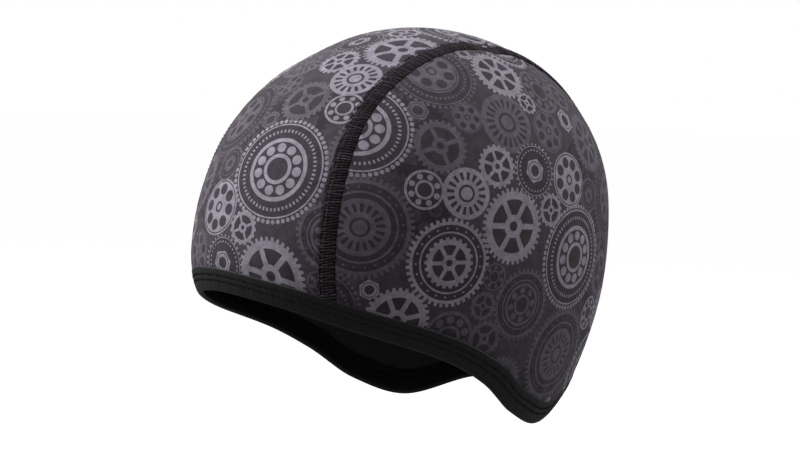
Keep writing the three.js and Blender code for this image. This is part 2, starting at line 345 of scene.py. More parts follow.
# The print: plain machine parts on a repeat of cloth, in millimetres of the flat cloth
printForm = {
    "repeat": 126.0,
    "tries": 1400,  # places tried for each part
    "overlap": 0.8,  # neighbours just run under each other
    "seed": 11,
}
printParts = [
    # kind, radius, count of teeth or holes, arms, tone, and the part inside it if there is one
    ("beadRing", 24.0, 58, 6, "light", ("ballBearing", 14.5, 11)),
    ("toothRing", 22.5, 50, 6, "mid", ("slottedDisc", 12.5, 18)),
    ("beadRing", 20.5, 48, 6, "mid", ("holedDisc", 12.5, 7)),
    ("toothRing", 19.0, 42, 6, "light", ("cogWheel", 11.0, 22)),
    ("cogWheel", 16.5, 36, 6, "light"),
    ("toothRing", 16.0, 36, 6, "mid", ("ballBearing", 9.5, 8)),
    ("cogWheel", 15.0, 32, 8, "mid"),
    ("cogWheel", 14.0, 30, 7, "light"),
    ("slottedDisc", 13.5, 20, 6, "mid"),
    ("holedDisc", 12.5, 8, 6, "light"),
    ("ballBearing", 12.0, 10, 6, "mid"),
    ("cogWheel", 12.0, 26, 4, "mid"),
    ("beadRing", 12.0, 30, 6, "light", ("hexNut", 5.5, 6)),
    ("slottedDisc", 11.0, 16, 6, "light"),
    ("holedDisc", 10.0, 7, 6, "mid"),
    ("cogWheel", 9.5, 20, 6, "light"),
    ("ballBearing", 8.5, 8, 6, "light"),
    ("cogWheel", 8.5, 18, 4, "mid"),
    ("toothRing", 8.5, 20, 6, "mid", ("hexNut", 4.0, 6)),
    ("cogWheel", 7.5, 15, 4, "light"),
    ("holedDisc", 7.0, 6, 6, "mid"),
    ("cogWheel", 6.5, 13, 4, "mid"),
    ("hexNut", 6.0, 6, 6, "light"),
    ("ballBearing", 6.0, 7, 6, "mid"),
    ("cogWheel", 5.5, 12, 4, "light"),
    ("hexNut", 5.0, 6, 6, "mid"),
    ("hexNut", 4.5, 6, 6, "light"),
    ("cogWheel", 19.0, 40, 6, "ghost"),
    ("holedDisc", 15.0, 8, 6, "ghost"),
    ("cogWheel", 14.0, 28, 4, "ghost"),
    ("toothRing", 18.0, 34, 6, "ghost"),
    ("slottedDisc", 12.0, 14, 6, "ghost"),
    ("cogWheel", 10.0, 20, 6, "ghost"),
]


def layPrint():  # drops the parts on the repeat in turn, each where it fits its neighbours best
    chance = random.Random(printForm["seed"])
    repeat = printForm["repeat"]
    laid = []
    for kind, radius, count, arms, tone, *inner in printParts:
        best = None
        for _ in range(printForm["tries"]):
            x, y = chance.uniform(0, repeat), chance.uniform(0, repeat)
            room = repeat  # more than any gap
            for other in laid:
                if (other["tone"] == "ghost") == (tone == "ghost"):
                    dx, dy = abs(x - other["x"]), abs(y - other["y"])
                    gap = math.hypot(min(dx, repeat - dx), min(dy, repeat - dy))
                    room = min(room, gap - radius - other["radius"])
            tight = -abs(room + printForm["overlap"])
            if best is None or tight > best[0]:
                best = (tight, x, y)
        turn = chance.uniform(0, math.tau)
        part = dict(kind=kind, radius=radius, count=count, arms=arms, tone=tone, inner=inner)
        laid.append(dict(part, x=best[1], y=best[2], turn=turn))
    return laid


# Proportions of the parts, as shares of their radius. Flank, tick and slot are shares of half a lap.
partForms = {
    "cogWheel": dict(flank=(0.32, 0.62), foot=0.9, window=(0.3, 0.7), halfArm=0.075, bore=0.13),
    "holedDisc": dict(holesAt=0.63, hole=0.2, hub=(0.12, 0.2), line=(0.9, 0.94)),
    "ballBearing": dict(ballsAt=0.68, ball=0.15, outerRace=(0.87, 1.0), innerRace=(0.36, 0.48)),
    "beadRing": dict(disc=0.99, beadsAt=0.97, bead=0.04, tick=0.55, ticks=(0.72, 0.78), line=(0.88, 0.91)),
    "toothRing": dict(flank=(0.38, 0.55), foot=0.92, rim=0.85, studsAt=0.775, stud=0.022, line=(0.66, 0.7)),
    "slottedDisc": dict(slot=0.52, slots=(0.52, 0.82), line=(0.25, 0.34)),
    "hexNut": dict(flats=0.87, line=(0.68, 0.75), bore=0.45),
}


def within(value, limit):
    return calc("LESS_THAN", value, limit)


def lapsRound(angle, count):  # 0 to 1 and back to 0 once for each of count
    turns = times(calc("DIVIDE", angle, math.tau), count)
    return times(calc("PINGPONG", turns, 0.5), 2.0)


def roundHoles(r, angle, count, at, size):  # a ring of count discs of a size, at a share of the radius
    step = calc("DIVIDE", math.tau, count)
    half = times(step, 0.5)
    near = calc("WRAP", angle, half, times(half, -1.0))
    x = calc("SUBTRACT", times(r, calc("COSINE", near)), at)
    y = times(r, calc("SINE", near))
    gap = calc("SQRT", calc("ADD", times(x, x), times(y, y)))
    return within(gap, size)


def ring(r, low, high):
    return times(within(r, high), calc("GREATER_THAN", r, low))


def anyOf(first, *rest):
    for other in rest:
        first = calc("MAXIMUM", first, other)
    return first


def without(whole, *holes):
    for hole in holes:
        whole = times(whole, calc("SUBTRACT", 1.0, hole))
    return whole


# Each part gives what it covers, and what is light on it
def cogWheel(form, r, angle, given):
    tooth = lapsRound(angle, given["count"])
    body = within(r, remap(tooth, *form["flank"], form["foot"], 1.0))
    arms = lapsRound(angle, given["arms"])
    armWidth = times(times(r, math.pi), arms)
    armWidth = calc("DIVIDE", armWidth, given["arms"])
    window = without(ring(r, *form["window"]), within(armWidth, form["halfArm"]))
    return body, without(body, window, within(r, form["bore"]))


def holedDisc(form, r, angle, given):
    body = within(r, 1.0)
    holes = roundHoles(r, angle, given["count"], form["holesAt"], form["hole"])
    return body, without(body, holes, ring(r, *form["hub"]), ring(r, *form["line"]))


def ballBearing(form, r, angle, given):
    balls = roundHoles(r, angle, given["count"], form["ballsAt"], form["ball"])
    light = anyOf(ring(r, *form["outerRace"]), balls, ring(r, *form["innerRace"]))
    return within(r, 1.0), light


def beadRing(form, r, angle, given):
    beads = roundHoles(r, angle, given["count"], form["beadsAt"], form["bead"])
    ticks = calc("GREATER_THAN", lapsRound(angle, given["count"]), form["tick"])
    ticks = times(ticks, ring(r, *form["ticks"]))
    light = anyOf(beads, ring(r, *form["line"]), ticks)
    return anyOf(within(r, form["disc"]), beads), light


def toothRing(form, r, angle, given):  # an open ring with teeth outside and a fine ring inside
    tooth = lapsRound(angle, given["count"])
    body = within(r, remap(tooth, *form["flank"], form["foot"], 1.0))
    half = times(given["count"], 0.5)
    studs = roundHoles(r, angle, half, form["studsAt"], form["stud"])
    rim = without(body, within(r, form["rim"]))
    return body, anyOf(rim, ring(r, *form["line"]), studs)


def slottedDisc(form, r, angle, given):
    body = within(r, 1.0)
    slots = calc("GREATER_THAN", lapsRound(angle, given["count"]), form["slot"])
    slots = times(slots, ring(r, *form["slots"]))
    return body, without(body, slots, ring(r, *form["line"]))


def hexNut(form, r, angle, given):
    flat = calc("WRAP", angle, math.pi / 6, -math.pi / 6)
    across = times(r, calc("COSINE", flat))
    body = within(across, form["flats"])
    return body, without(body, ring(r, *form["line"]), within(r, form["bore"]))


def makePart(draw):  # a group for one kind of part, drawn by the distance in radii and the angle round it
    tree = bpy.data.node_groups.new(draw.__name__, "ShaderNodeTree")
    for way, kind, labels in (
        ("INPUT", "NodeSocketVector", ["cloth", "centre"]),
        ("INPUT", "NodeSocketFloat", ["turn", "radius", "count", "arms"]),
        ("OUTPUT", "NodeSocketFloat", ["cover", "light"]),
    ):
        for label in labels:
            tree.interface.new_socket(label, in_out=way, socket_type=kind)
    given = tree.nodes.new("NodeGroupInput").outputs
    half = printForm["repeat"] / 2
    away = vectorCalc("SUBTRACT", given["cloth"], given["centre"])
    away = vectorCalc("WRAP", away, (half, half, half), (-half, -half, -half))
    x, y = splitAxis(away, 0), splitAxis(away, 1)
    flat = addNode(tree, "ShaderNodeCombineXYZ", {0: x, 1: y}).outputs[0]
    r = calc("DIVIDE", vectorCalc("LENGTH", flat), given["radius"])
    angle = calc("ADD", calc("ARCTAN2", y, x), given["turn"])
    cover, light = draw(partForms[draw.__name__], r, angle, given)
    addNode(tree, "NodeGroupOutput", {"cover": cover, "light": light})
    return tree


printGroups = {
    draw.__name__: makePart(draw)
    for draw in (cogWheel, holedDisc, ballBearing, beadRing, toothRing, slottedDisc, hexNut)
}

printColours = {
    "ground": (0.074, 0.061, 0.078, 1),
    "groundDark": (0.056, 0.046, 0.059, 1),
    "inside": (0.050, 0.041, 0.053, 1),  # between the arms, teeth and balls
    "ghost": (0.040, 0.032, 0.042, 1),
    "mid": (0.122, 0.106, 0.132, 1),
    "light": (0.335, 0.306, 0.366, 1),
    "lightDull": (0.240, 0.221, 0.266, 1),
}

printSurface = {
    "shader": dict(roughness=0.85, sheen=0.10, sheenRoughness=0.4, specular=0.2),
    "groundClouds": dict(scale=0.03),
    "inkClouds": dict(scale=0.022),
    "heather": dict(scale=0.85, detail=4.0, roughness=0.72),
    "heatherStretch": (1.0, 1.5, 1.0),
    "heatherShade": (0.3, 0.7, 0.76, 1.22),  # noise from and to, brightness from and to
    "blotches": dict(scale=0.21, detail=4.0, roughness=0.65),
    "blotchDepth": 1.3,
    "wales": dict(axis=0, pitch=0.75, height=0.5),
    "courses": dict(axis=1, pitch=0.55, height=0.3),
    "fuzz": dict(scale=0.9, detail=4.0, roughness=0.65),
    "fuzzHeight": 2.2,
    "bump": dict(strength=0.35, distance=0.12 * mm),
}


def makePrintMaterial():
    look, colours = printSurface, printColours
    material, tree, shader = newMaterial("printedCloth", **look["shader"])
    cloth = flatCloth(tree)
    colour = tint(grain(cloth, **look["groundClouds"]), colours["ground"], colours["groundDark"])
    tones = {
        "light": tint(grain(cloth, **look["inkClouds"]), colours["light"], colours["lightDull"]),
        "mid": colours["mid"],
    }
    for part in sorted(layPrint(), key=lambda p: (p["tone"] != "ghost", -p["radius"])):
        rings = [(part["kind"], part["radius"], part["count"])] + part["inner"]
        for kind, radius, count in rings:
            sockets = dict(cloth=cloth, centre=(part["x"], part["y"], 0), turn=part["turn"])
            sockets.update(radius=radius, count=count, arms=part["arms"])
            drawn = addNode(tree, "ShaderNodeGroup", sockets, node_tree=printGroups[kind]).outputs
            if part["tone"] == "ghost":
                colour = tint(drawn["light"], colour, colours["ghost"])
            else:
                colour = tint(drawn["cover"], colour, colours["inside"])
                colour = tint(drawn["light"], colour, tones[part["tone"]])
    heather = grain(vectorCalc("MULTIPLY", cloth, look["heatherStretch"]), **look["heather"])
    shade = remap(heather, *look["heatherShade"])
    blotches = calc("SUBTRACT", grain(cloth, **look["blotches"]), 0.5)
    worn = calc("ADD", times(blotches, look["blotchDepth"]), 1.0)
    sockets = {0: colour, "Scale": times(shade, worn)}
    colour = nextNode("ShaderNodeVectorMath", sockets, operation="SCALE").outputs[0]
    knit = calc("ADD", ridges(cloth, **look["wales"]), ridges(cloth, **look["courses"]))
    fuzz = times(grain(cloth, **look["fuzz"]), look["fuzzHeight"])
    dress(shader, colour, calc("ADD", knit, fuzz), **look["bump"])
    return material


brushedSurface = {
    "shader": dict(roughness=0.95, sheen=0.6, sheenRoughness=0.5, specular=0.1),
    "tufts": dict(scale=900.0, detail=3.0, roughness=0.7),
    "dark": (0.018, 0.017, 0.02, 1),
    "pale": (0.06, 0.056, 0.064, 1),
    "patches": dict(scale=60.0),
    "patchShare": 0.4,
    "patch": (0.03, 0.028, 0.033, 1),
    "bump": dict(strength=0.8, distance=0.6 * mm),
}


def makeBrushedMaterial():  # the warm inside, brushed to a short pile
    look = brushedSurface
    material, tree, shader = newMaterial("brushedInside", **look["shader"])
    spot = objectPlace(tree)
    tufts = grain(spot, **look["tufts"])
    patches = times(grain(spot, **look["patches"]), look["patchShare"])
    colour = tint(patches, tint(tufts, look["dark"], look["pale"]), look["patch"])
    dress(shader, colour, tufts, **look["bump"])
    return material


bindingSurface = {
    "shader": dict(roughness=0.5, specular=0.28),
    "ribs": dict(axis=0, pitch=0.6, height=0.5),
    "rows": dict(axis=1, pitch=0.45, height=0.25),
    "fibres": dict(scale=1.4, detail=4.0, roughness=0.7),
    "dark": (0.0090, 0.0091, 0.0093, 1),
    "pale": (0.0176, 0.0178, 0.0181, 1),
    "bump": dict(strength=0.5, distance=0.12 * mm),
}


def makeBindingMaterial():
    look = bindingSurface
    material, tree, shader = newMaterial("elasticBinding", **look["shader"])
    cloth = flatCloth(tree)
    fibres = grain(cloth, **look["fibres"])
    colour = tint(fibres, look["dark"], look["pale"])
    weave = calc("ADD", ridges(cloth, **look["ribs"]), ridges(cloth, **look["rows"]))
    dress(shader, colour, calc("ADD", weave, fibres), **look["bump"])
    return material


# The pale colours go on a few threads picked at random. They are partly a tone that changes from thread to
# thread and partly painted highlight, most of all on the seam's ladder threads.
threadColoursAndGlints = {
    "seamBase": dict(dark=(0.0178, 0.0125, 0.0166, 1), pale=(0.0350, 0.0262, 0.0330, 1)),
    "seamThread": dict(dark=(0.0190, 0.0138, 0.0175, 1), pale=(0.082, 0.065, 0.078, 1)),
    "bindingThread": dict(dark=(0.0035, 0.0035, 0.0038, 1), pale=(0.015, 0.015, 0.016, 1)),
}
threadSurface = {
    "toneAndGlintPower": 2.0,  # the higher, the fewer pale threads, which are painted highlights as well as a change of tone
    "fibres": dict(scale=1500.0),
    "fibreShare": 0.5,
    "bump": dict(strength=0.7, distance=0.2 * mm),
}


def makeThreadMaterial(name, roughness, ply):
    look, colours = threadSurface, threadColoursAndGlints[name]
    material, tree, shader = newMaterial(name, roughness, specular=0.2)
    # a random value for each thread; its pale end paints highlights on a few threads
    shade = addNode(tree, "ShaderNodeAttribute", attribute_name="shade").outputs["Fac"]
    colour = tint(calc("POWER", shade, look["toneAndGlintPower"]), colours["dark"], colours["pale"])
    spot = objectPlace(tree)
    fibres = times(grain(spot, **look["fibres"]), look["fibreShare"])
    colour = tint(fibres, colour, colours["dark"])
    dress(shader, colour, grain(spot, ply, detail=1.0), **look["bump"])
    return material


finishes = {
    "print": makePrintMaterial(),
    "inside": makeBrushedMaterial(),
    "seamBase": makeThreadMaterial("seamBase", roughness=0.85, ply=900.0),
    "seamThread": makeThreadMaterial("seamThread", roughness=0.65, ply=1800.0),
    "binding": makeBindingMaterial(),
    "bindingThread": makeThreadMaterial("bindingThread", roughness=0.6, ply=1800.0),
}
print("materials made")


# Meshes
def toFrame(points):  # millimetres above the brow to metres from the inside of the crown
    return (points - crownInside) * mm


def linked(name, data):
    piece = bpy.data.objects.new(name, data)
    bpy.context.scene.collection.objects.link(piece)
    return piece


def clothMesh(name, points, faces, uv, materials):  # uv in millimetres of cloth, for each corner of a face
    mesh = bpy.data.meshes.new(name)
    mesh.from_pydata(toFrame(points).tolist(), [], faces.tolist())
    mesh.polygons.foreach_set("use_smooth", np.ones(len(faces), bool))
    mesh.uv_layers.new(name="cloth").data.foreach_set("uv", (uv / clothUnit).reshape(-1))
    for material in materials:
        mesh.materials.append(material)
    return linked(name, mesh)


def wallPiece(name, outer, inner, uv, materials):  # a closed wall between two grids of points
    rows, columns = outer.shape[:2]
    index = np.arange(rows * columns).reshape(rows, columns)
    under = index + rows * columns

    def quads(a, b, c, d):
        return np.stack([a, b, c, d], -1).reshape(-1, 4)

    sides = [
        quads(index[:-1, :-1], index[:-1, 1:], index[1:, 1:], index[1:, :-1]),
        quads(under[:-1, :-1], under[1:, :-1], under[1:, 1:], under[:-1, 1:]),
        quads(index[:-1, 0], index[1:, 0], under[1:, 0], under[:-1, 0]),
        quads(index[:-1, -1], under[:-1, -1], under[1:, -1], index[1:, -1]),
        quads(index[0, :-1], under[0, :-1], under[0, 1:], index[0, 1:]),
        quads(index[-1, :-1], index[-1, 1:], under[-1, 1:], under[-1, :-1]),
    ]
    faces = np.vstack(sides)
    points = np.vstack([outer.reshape(-1, 3), inner.reshape(-1, 3)])
    corners = np.vstack([uv.reshape(-1, 2)] * 2)[faces.reshape(-1)]
    piece = clothMesh(name, points, faces, corners, materials)
    slots = np.concatenate([np.full(len(side), k == 1, np.int32) for k, side in enumerate(sides)])
    piece.data.polygons.foreach_set("material_index", slots)  # the second material is for the inner face
    piece.data.update()
    return piece


def nearest(points, line, chunk=4000):  # distance to a line of points, and how far along it
    flat = points.reshape(-1, 3)
    gap = np.empty(len(flat))
    at = np.empty(len(flat), int)
    for k in range(0, len(flat), chunk):
        away = np.linalg.norm(flat[k : k + chunk, None] - line[None], axis=-1)
        at[k : k + chunk] = away.argmin(1)
        gap[k : k + chunk] = away.min(1)
    return gap.reshape(points.shape[:-1]), at.reshape(points.shape[:-1])


clothDetail = {
    "tuck": dict(depth=0.9, width=1.3),  # the edge rolls down beside the seam
    "seamPucker": dict(height=0.22, step=8.5, drift=1.7, driftStep=31.0, start=2.5, reach=9.0),
    "edgePucker": dict(height=0.22, step=11.0, drift=1.3, drifts=5, radius=90, reach=8.0),
    "softFold": dict(height=0.55, size=42.0),  # broad unevenness of the stretched cloth
}


def clothRelief(points, seamGap, seamAt, edgeGap, side):
    tuck, seam, edge, fold = clothDetail.values()
    relief = -dentDepth(points)
    relief -= tuck["depth"] * np.exp(-((seamGap / tuck["width"]) ** 2))
    wave = np.sin(seamAt / seam["step"] * math.tau + seam["drift"] * np.sin(seamAt / seam["driftStep"]))
    wave = seam["height"] * wave * np.exp(-seamGap / seam["reach"])
    relief += wave * np.clip(seamGap / seam["start"], 0, 1)
    turn = place(points)[0]
    wave = turn * edge["radius"] / edge["step"] * math.tau
    wave = np.sin(wave + edge["drift"] * np.sin(turn * edge["drifts"] + side))
    relief += edge["height"] * wave * np.exp(-edgeGap / edge["reach"])
    flat = points.reshape(-1, 3) / fold["size"]
    soft = np.array([noise.noise(Vector(p)) for p in flat]).reshape(points.shape[:-1])
    return relief + fold["height"] * soft


def clothPiece(name, grid, uv, seamLine, side):
    seamGap, seamAt = nearest(grid, seamLine)
    seamStep = np.linalg.norm(seamLine[1] - seamLine[0])
    turn = place(grid)[0]
    edgeGap = np.maximum(grid[..., 2] - aboveEdge(turn, bindingShape["width"])[..., 2], 0)
    relief = clothRelief(grid, seamGap, seamAt * seamStep, edgeGap, side)
    normal = outwards(grid)
    outer = grid + normal * relief[..., None]
    inner = grid + normal * (relief[..., None] - capForm["clothThick"])
    return wallPiece(name, outer, inner, uv, [finishes["print"], finishes["inside"]])


# Stitches are in millimetres and degrees: pitch, length, arch, thickness, turn, unevenness and seed
seamShape = {
    "width": 7.6,
    "proud": 0.45,
    "inside": 0.25,
    "edgeDip": 0.75,
    "roundness": (3.2, 3),  # of the band's outer and inner face
    "columns": 15,
    "intoBinding": 1.5,  # how far the band runs down inside the binding
    "panelGap": 3.4,  # from the seam's middle to the panels' edges, under the rolled band
    "ribs": dict(Pitch=1.18, Length=6.0, Arch=0.5, Thickness=0.7, Turn=90, Unevenness=0.18, Seed=4),
    "ribLean": 9,
    "ribSink": 0.12,
    "needle": dict(Pitch=1.9, Length=1.5, Arch=0.25, Thickness=0.5, Turn=0, Unevenness=0.12, Seed=40),
    "needlesAt": (-0.43, 0.15),  # shares of the way from the middle to the band's edge
    "needleLift": 0.16,
    "hem": dict(Pitch=2.3, Length=1.7, Arch=0.2, Thickness=0.42, Turn=0, Unevenness=0.08, Seed=9),
    "hemBeside": 0.55,
    "hemLift": 0.02,
    "back": dict(Pitch=1.9, Length=5.2, Arch=0.3, Thickness=0.4, Turn=68, Unevenness=0.1, Seed=12),
    "backLift": 0.05,
}
bindingShape = {
    "width": 10.5,
    "leaf": 0.55,
    "lift": 0.12,  # between the leaf and the cloth
    "lip": dict(round=0.08, rise=0.05, middle=0.3, drop=0.12),  # the top edge of each leaf
    "face": dict(belowTop=0.5, aboveEdge=1.6, points=30),
    "swell": 0.12,
    "fold": dict(height=1.5, sweep=75, points=13),
    "slot": (6.0, 1.2),  # top and foot of the room for the panels' edges
    "levels": (1.0, 5.0, 9.5),  # heights at which its lean is taken
    "gathers": [(0.07, 3.1, 0), (0.06, 7.7, 2)],  # height, step, start
    "stitchRows": (3.0, 5.4),  # below the top edge
    "rowValley": dict(depth=0.16, width=0.5),
    "stitches": dict(Pitch=1.5, Length=1.25, Arch=0.3, Thickness=0.5, Turn=76, Unevenness=0.12, Seed=20),
    "back": dict(Pitch=1.6, Length=3.0, Arch=0.25, Thickness=0.4, Turn=62, Unevenness=0.08, Seed=31),
    "stitchSink": 0.1,
    "backLift": 0.1,
}

seamCount = 300 // coarse
sideRows = 84 // coarse
edgeCount = 150 // coarse
centreCount = 84 // coarse
bindingCount = 560 // coarse
fineCount = 4001  # points by which the edge's own length is measured
hidden = [2.0, 5.0, 8.0]  # cloth inside the binding, above the edge

innerRun = seamRun(-seamShape["panelGap"], bindingShape["width"], seamCount, pinched=True)
plainRun = seamRun(-seamShape["panelGap"], bindingShape["width"], seamCount)  # the same on the right
outerRun = seamRun(seamShape["panelGap"], bindingShape["width"], seamCount)


def turnOf(point):
    return float(place(point)[0])


# Where each panel lies on the printed roll, in millimetres, and how far it is turned there
rollCuts = {
    "centre": dict(at=(31.0, 14.0)),
    "left": dict(at=(58.0, 37.0), turn=118),
    "right": dict(at=(9.0, 83.0), turn=-52),
}
sideHeart = (1.0, 0.12, 0.12)  # the way out to the middle of the left side panel


def makeCentrePanel():
    half = centreCount // 2
    brow = np.linspace(-1, 1, centreCount + 1) * turnOf(innerRun[0])
    napeReach = math.pi - turnOf(innerRun[-1])
    nape = math.pi + np.linspace(1, -1, centreCount + 1) * napeReach
    nape = np.where(nape > math.pi, nape - math.tau, nape)
    top = bindingShape["width"]
    patch = fillPatch(aboveEdge(brow, top), aboveEdge(nape, top), plainRun * otherSide, innerRun)
    low = np.stack([aboveEdge(brow, up) for up in hidden])
    high = np.stack([aboveEdge(nape, up) for up in hidden[::-1]])
    grid = np.concatenate([low, patch, high])
    across = np.linalg.norm(np.diff(grid, axis=1), axis=-1)
    u = np.concatenate([np.zeros((len(grid), 1)), np.cumsum(across, axis=1)], axis=1)
    u = u - u[:, half][:, None]
    v = lengths(grid[:, half])[:, None]
    left, down = rollCuts["centre"]["at"]
    uv = np.stack(np.broadcast_arrays(u + left, v + down), -1)
    seamLines = np.vstack([seamMiddle, seamMiddle * otherSide])
    return clothPiece("cloth_centre", grid, uv, seamLines, 0.0)


def makeSidePanel(side):
    label = "left" if side > 0 else "right"
    along = np.linspace(turnOf(outerRun[0]), turnOf(outerRun[-1]), edgeCount + 1)
    edge = aboveEdge(along, bindingShape["width"])
    over = evenly(outerRun[sideRows : seamCount - sideRows + 1], edgeCount)
    patch = fillPatch(edge, over, outerRun[: sideRows + 1], outerRun[::-1][: sideRows + 1])
    low = np.stack([aboveEdge(along, height) for height in hidden])
    grid = np.concatenate([low, patch])
    heart = cast(np.array([sideHeart]))[0]
    flat = grid[..., 1:] - heart[1:]
    tiny = 1e-6  # keeps the heart itself from a division by nothing
    spread = np.linalg.norm(flat, axis=-1) + tiny
    sink = np.maximum(heart[0] - grid[..., 0], 0)
    half = np.arctan2(sink, spread) + tiny
    arc = np.hypot(sink, spread) * half / np.sin(half)
    uv = flat / spread[..., None] * arc[..., None]
    turned = math.radians(rollCuts[label]["turn"])
    uv = uv @ np.array([[math.cos(turned), math.sin(turned)], [-math.sin(turned), math.cos(turned)]])
    uv = uv + np.array(rollCuts[label]["at"])
    line = seamMiddle
    if side < 0:
        grid, uv, line = mirrored(grid), uv[:, ::-1], seamMiddle * otherSide
    return clothPiece("cloth_side_" + label, grid, uv, line, side)


cloths = {
    "centre_panel": makeCentrePanel(),
    "side_panel_left": makeSidePanel(1),
    "side_panel_right": makeSidePanel(-1),
}
print("panels made", {name: len(piece.data.polygons) for name, piece in cloths.items()})


# Stitches: one tree lays short bent threads along a path
threadForm = {
    "bends": 6,  # points along a thread
    "sides": 6,
    "sag": -0.5,  # of its ends and its middle, as shares of the arch
    "crest": 1.5,
    "taper": 0.45,
    "taperPower": 4.0,
}


def makeStitchTree():
    form = threadForm
    tree = bpy.data.node_groups.new("stitchRow", "GeometryNodeTree")
    sockets = {}
    for kind, labels in (
        ("NodeSocketGeometry", ["Path"]),
        ("NodeSocketFloat", ["Pitch", "Length", "Arch", "Thickness", "Turn", "Unevenness"]),
        ("NodeSocketInt", ["Seed"]),
        ("NodeSocketMaterial", ["Thread"]),
    ):
        for label in labels:
            sockets[label] = tree.interface.new_socket(label, in_out="INPUT", socket_type=kind)
    tree.interface.new_socket("Stitches", in_out="OUTPUT", socket_type="NodeSocketGeometry")
    given = tree.nodes.new("NodeGroupInput").outputs

    def add(kind, links=None, **settings):
        return addNode(tree, kind, links, **settings).outputs[0]

    def vector(x, y, z):
        return add("ShaderNodeCombineXYZ", {0: x, 1: y, 2: z})

    def chance(low, high, offset):
        links = {2: low, 3: high, "Seed": calc("ADD", given["Seed"], offset)}
        return addNode(tree, "FunctionNodeRandomValue", links, data_type="FLOAT").outputs[1]

    half = times(given["Length"], 0.5)
    sag = times(given["Arch"], form["sag"])
    start, end = vector(times(half, -1.0), 0.0, sag), vector(half, 0.0, sag)
    crest = vector(0.0, 0.0, times(given["Arch"], form["crest"]))
    links = {"Resolution": form["bends"], "Start": start, "Middle": crest, "End": end}
    bow = add("GeometryNodeCurveQuadraticBezier", links)
    swing = calc("SUBTRACT", times(add("GeometryNodeSplineParameter"), 2.0), 1.0)
    swing = calc("POWER", calc("ABSOLUTE", swing), form["taperPower"])
    slim = calc("SUBTRACT", 1.0, times(swing, form["taper"]))
    tapered = add("GeometryNodeSetCurveRadius", {"Curve": bow, "Radius": slim})
    links = {"Resolution": form["sides"], "Radius": times(given["Thickness"], 0.5)}
    links = {"Curve": tapered, "Profile Curve": add("GeometryNodeCurvePrimitiveCircle", links)}
    thread = add("GeometryNodeCurveToMesh", dict(links, **{"Fill Caps": True}))

    line = add("GeometryNodeMeshToCurve", {0: given["Path"]})
    spots = add("GeometryNodeResampleCurve", {"Curve": line, "Length": given["Pitch"]}, mode="LENGTH")
    outward = add("GeometryNodeInputNamedAttribute", {"Name": "outward"}, data_type="FLOAT_VECTOR")
    heading = add("FunctionNodeAlignRotationToVector", {"Vector": add("GeometryNodeInputTangent")}, axis="X")
    links = {"Rotation": heading, "Vector": outward}
    upright = add("FunctionNodeAlignRotationToVector", links, axis="Z", pivot_axis="X")
    wander = times(chance(-1.0, 1.0, offset=3.0), given["Unevenness"])
    turned = vector(0.0, 0.0, calc("ADD", given["Turn"], wander))
    links = {0: upright, 1: add("FunctionNodeEulerToRotation", {0: turned})}
    swivel = add("FunctionNodeRotateRotation", links, rotation_space="LOCAL")
    size = calc("ADD", 1.0, times(chance(-1.0, 1.0, offset=5.0), given["Unevenness"]))
    links = {"Points": spots, "Instance": thread, "Rotation": swivel, "Scale": vector(size, 1.0, 1.0)}
    laid = add("GeometryNodeInstanceOnPoints", links)
    # a random value for each thread, by which its material paints a few threads pale, as painted highlights
    # and as a change of tone
    links = {"Geometry": laid, "Name": "shade", "Value": chance(0.0, 1.0, offset=7.0)}
    shaded = add("GeometryNodeStoreNamedAttribute", links, data_type="FLOAT", domain="INSTANCE")
    smooth = add("GeometryNodeSetShadeSmooth", {0: add("GeometryNodeRealizeInstances", {0: shaded})})
    painted = add("GeometryNodeSetMaterial", {"Geometry": smooth, "Material": given["Thread"]})
    addNode(tree, "NodeGroupOutput", {0: painted})
    return tree, {label: socket.identifier for label, socket in sockets.items()}


stitchTree, stitchSockets = makeStitchTree()


def stitchRow(name, points, normals, closed, thread, sizes):
    count = len(points)
    mesh = bpy.data.meshes.new(name)
    edges = [(k, k + 1) for k in range(count - 1)] + ([(count - 1, 0)] if closed else [])
    mesh.from_pydata(toFrame(points).tolist(), edges, [])
    mesh.attributes.new("outward", "FLOAT_VECTOR", "POINT").data.foreach_set("vector", normals.reshape(-1))
    piece = linked(name, mesh)
    modifier = piece.modifiers.new("stitches", "NODES")
    modifier.node_group = stitchTree
    for label, value in sizes.items():
        if label == "Turn":
            value = math.radians(value)
        elif label not in ("Unevenness", "Seed"):
            value = value * mm
        modifier[stitchSockets[label]] = value
    modifier[stitchSockets["Thread"]] = finishes[thread]
    evaluated = piece.evaluated_get(bpy.context.evaluated_depsgraph_get())
    plain = bpy.data.meshes.new_from_object(evaluated)
    piece.modifiers.clear()
    piece.data = plain
    return piece


